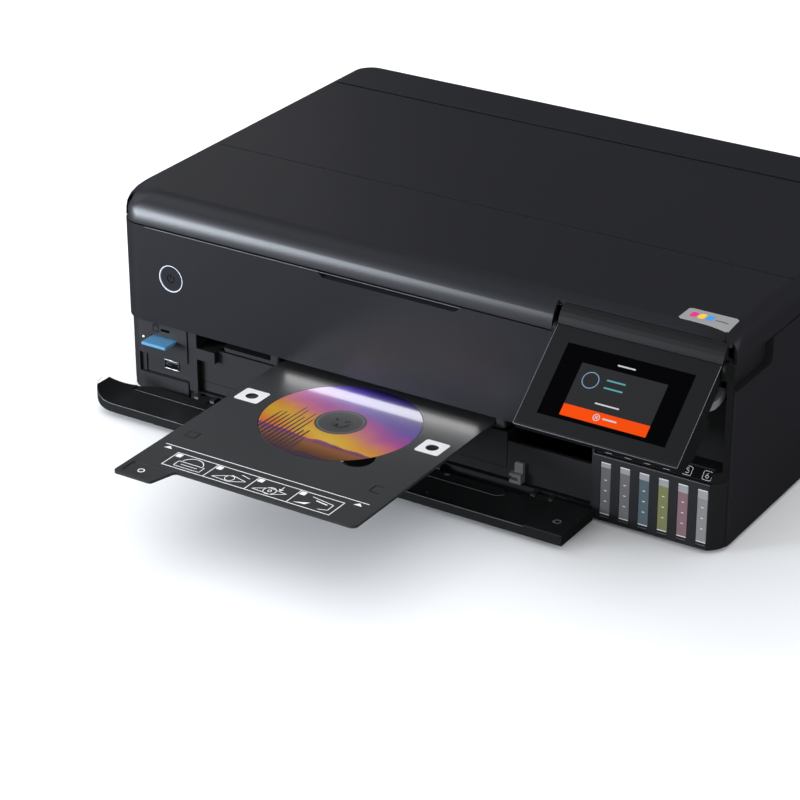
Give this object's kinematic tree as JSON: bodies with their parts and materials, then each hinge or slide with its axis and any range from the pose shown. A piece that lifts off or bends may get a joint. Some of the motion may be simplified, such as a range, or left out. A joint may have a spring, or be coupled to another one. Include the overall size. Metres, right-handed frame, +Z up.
{
  "type": "disc label printer",
  "caption": "Low desktop inkjet printer with flatbed scanner, tilting touch panel, twin paper cassettes, side ink tank windows and a carrier tray for printing on discs.",
  "frame": {"origin": "centre of the bounding box's footprint, on the table under the feet", "axes": "+X to the printer's right as seen from its front, +Y to its rear, +Z up"},
  "size_m": [0.523, 0.58, 0.169],
  "materials": {
    "top_plastic": "satin, slightly violet charcoal",
    "case_plastic": "fine texture, near black",
    "tray_plastic": "satin, mid charcoal",
    "light_plastic": "satin, light grey",
    "white_plastic": "satin, white",
    "mech_plastic": "satin, mid grey",
    "screen": "polished, tinted black",
    "glass": "clear",
    "rubber": "matte",
    "steel": "brushed",
    "motor_metal": "satin",
    "disc_face": "printed and lacquered, violet to orange",
    "card_plastic": "satin, light blue",
    "light_ring": "translucent, pale blue",
    "ink_grey": "tinted clear, grey",
    "ink_dark_grey": "tinted clear, dark grey",
    "ink_blue": "tinted clear, blue grey",
    "ink_yellow": "tinted clear, olive yellow",
    "ink_pink": "tinted clear, mauve pink",
    "ink_light_grey": "tinted clear, light grey"
  },
  "bodies": {
    "body": {"front_panel": "top_plastic", "panel_housing": "top_plastic", "left_side_cover": "case_plastic", "right_side_cover": "case_plastic", "rear_cover": "case_plastic", "base_chassis": "case_plastic", "card_reader_panel": "case_plastic", "front_frame": "case_plastic", "ink_tank_housing": "case_plastic", "tank_cover": "case_plastic", "card_socket": "case_plastic", "power_inlet": "case_plastic", "paper_path_deck": "mech_plastic", "paper_support": "mech_plastic", "rear_frame": "mech_plastic", "tank_caps": "white_plastic", "feet": "rubber", "timing_belt": "rubber", "hinge_pins": "steel", "guide_rail": "steel", "pulley_brackets": "steel", "usb_port": "steel", "rear_sockets": "steel", "carriage_motor": "motor_metal", "button_ring": "light_ring", "ink_tank_1": "ink_dark_grey", "ink_tank_2": "ink_grey", "ink_tank_3": "ink_blue", "ink_tank_4": "ink_yellow", "ink_tank_5": "ink_pink", "ink_tank_6": "ink_light_grey"},
    "scanner": {"platen_frame": "case_plastic", "scanner_glass": "glass", "scanner_tub": "case_plastic"},
    "scan_bar": {"scan_bar": "mech_plastic"},
    "document_cover": {"document_cover": "top_plastic", "cover_liner": "white_plastic"},
    "rear_feed_cover": {"rear_feed_cover": "top_plastic"},
    "control_panel": {"control_panel_front": "top_plastic", "control_panel_back": "top_plastic", "touch_screen": "screen", "panel_stays": "light_plastic"},
    "front_cover": {"front_cover": "top_plastic"},
    "photo_cassette": {"photo_cassette": "tray_plastic"},
    "paper_guide_left": {"paper_guide_left": "tray_plastic"},
    "paper_guide_right": {"paper_guide_right": "tray_plastic"},
    "paper_cassette": {"paper_cassette": "tray_plastic"},
    "output_tray": {"output_tray": "tray_plastic"},
    "disc_tray": {"disc_tray": "tray_plastic", "disc": "disc_face"},
    "memory_card": {"memory_card": "card_plastic"},
    "power_button": {"power_button": "top_plastic"},
    "print_carriage": {"print_carriage": "mech_plastic"},
    "drive_pulley": {"drive_pulley": "mech_plastic"},
    "idler_pulley": {"idler_pulley": "mech_plastic"},
    "feed_roller": {"feed_roller": "rubber"},
    "eject_roller": {"eject_roller": "rubber"},
    "feed_guide_left": {"feed_guide_left": "tray_plastic"},
    "feed_guide_right": {"feed_guide_right": "tray_plastic"},
    "duplex_cover": {"duplex_cover": "case_plastic"}
  },
  "joints": [
    {"name": "scanner_hinge", "type": "hinge", "parent": "body", "child": "scanner", "pos_m": [0, 0.201, 0.164], "axis": [1, 0, 0], "range_deg": [-35, 0]},
    {"name": "document_cover_hinge", "type": "hinge", "parent": "scanner", "child": "document_cover", "pos_m": [0, 0.201, 0.164], "axis": [1, 0, 0], "range_deg": [-60, 0]},
    {"name": "scan_bar_slide", "type": "slide", "parent": "scanner", "child": "scan_bar", "axis": [-1, 0, 0], "range_m": [-0.31, 0]},
    {"name": "rear_feed_cover_hinge", "type": "hinge", "parent": "body", "child": "rear_feed_cover", "pos_m": [0, 0.252, 0.155], "axis": [1, 0, 0], "range_deg": [-90, 0]},
    {"name": "control_panel_tilt", "type": "hinge", "parent": "body", "child": "control_panel", "pos_m": [0, -0.0846, 0.1462], "axis": [1, 0, 0], "range_deg": [-10, 50]},
    {"name": "front_cover_hinge", "type": "hinge", "parent": "body", "child": "front_cover", "pos_m": [0, -0.0885, 0.0088], "axis": [-1, 0, 0], "range_deg": [0, 48]},
    {"name": "photo_cassette_slide", "type": "slide", "parent": "body", "child": "photo_cassette", "axis": [0, 1, 0], "range_m": [-0.18, 0]},
    {"name": "paper_cassette_slide", "type": "slide", "parent": "body", "child": "paper_cassette", "axis": [0, 1, 0], "range_m": [-0.2, 0]},
    {"name": "output_tray_slide", "type": "slide", "parent": "body", "child": "output_tray", "axis": [0, 1, 0], "range_m": [-0.15, 0]},
    {"name": "disc_tray_slide", "type": "slide", "parent": "body", "child": "disc_tray", "axis": [0, 1, 0], "range_m": [-0.03, 0.2]},
    {"name": "paper_guide_left_slide", "type": "slide", "parent": "photo_cassette", "child": "paper_guide_left", "axis": [1, 0, 0], "range_m": [0, 0.03]},
    {"name": "paper_guide_right_slide", "type": "slide", "parent": "photo_cassette", "child": "paper_guide_right", "axis": [-1, 0, 0], "range_m": [0, 0.03]},
    {"name": "feed_guide_left_slide", "type": "slide", "parent": "body", "child": "feed_guide_left", "axis": [1, 0, 0], "range_m": [0, 0.06]},
    {"name": "feed_guide_right_slide", "type": "slide", "parent": "body", "child": "feed_guide_right", "axis": [-1, 0, 0], "range_m": [0, 0.06]},
    {"name": "power_button_press", "type": "slide", "parent": "body", "child": "power_button", "axis": [0, 1, 0], "range_m": [0, 0.0015], "stiffness_N_per_m": 150},
    {"name": "memory_card_slide", "type": "slide", "parent": "body", "child": "memory_card", "axis": [0, 1, 0], "range_m": [-0.026, 0]},
    {"name": "carriage_slide", "type": "slide", "parent": "body", "child": "print_carriage", "axis": [1, 0, 0], "range_m": [-0.24, 0]},
    {"name": "drive_pulley_spin", "type": "hinge", "parent": "body", "child": "drive_pulley", "pos_m": [-0.174, 0.042, 0.083], "axis": [0, 1, 0], "range_deg": [-1604, 5]},
    {"name": "idler_pulley_spin", "type": "hinge", "parent": "body", "child": "idler_pulley", "pos_m": [0.142, 0.042, 0.083], "axis": [0, 1, 0], "range_deg": [-1604, 5]},
    {"name": "feed_roller_spin", "type": "hinge", "parent": "body", "child": "feed_roller", "pos_m": [0, 0.061, 0.0653], "axis": [1, 0, 0], "continuous": true},
    {"name": "eject_roller_spin", "type": "hinge", "parent": "body", "child": "eject_roller", "pos_m": [0, -0.044, 0.0633], "axis": [1, 0, 0], "continuous": true},
    {"name": "duplex_cover_slide", "type": "slide", "parent": "body", "child": "duplex_cover", "axis": [0, -1, 0], "range_m": [-0.06, 0]}
  ],
  "couplings": [
    {"joint": "drive_pulley_spin", "follows": "carriage_slide", "rad_per_m": 116.28},
    {"joint": "idler_pulley_spin", "follows": "carriage_slide", "rad_per_m": 116.28},
    {"joint": "eject_roller_spin", "follows": "feed_roller_spin", "ratio": 1.3333},
    {"joint": "paper_guide_right_slide", "follows": "paper_guide_left_slide", "ratio": 1},
    {"joint": "feed_guide_right_slide", "follows": "feed_guide_left_slide", "ratio": 1}
  ]
}
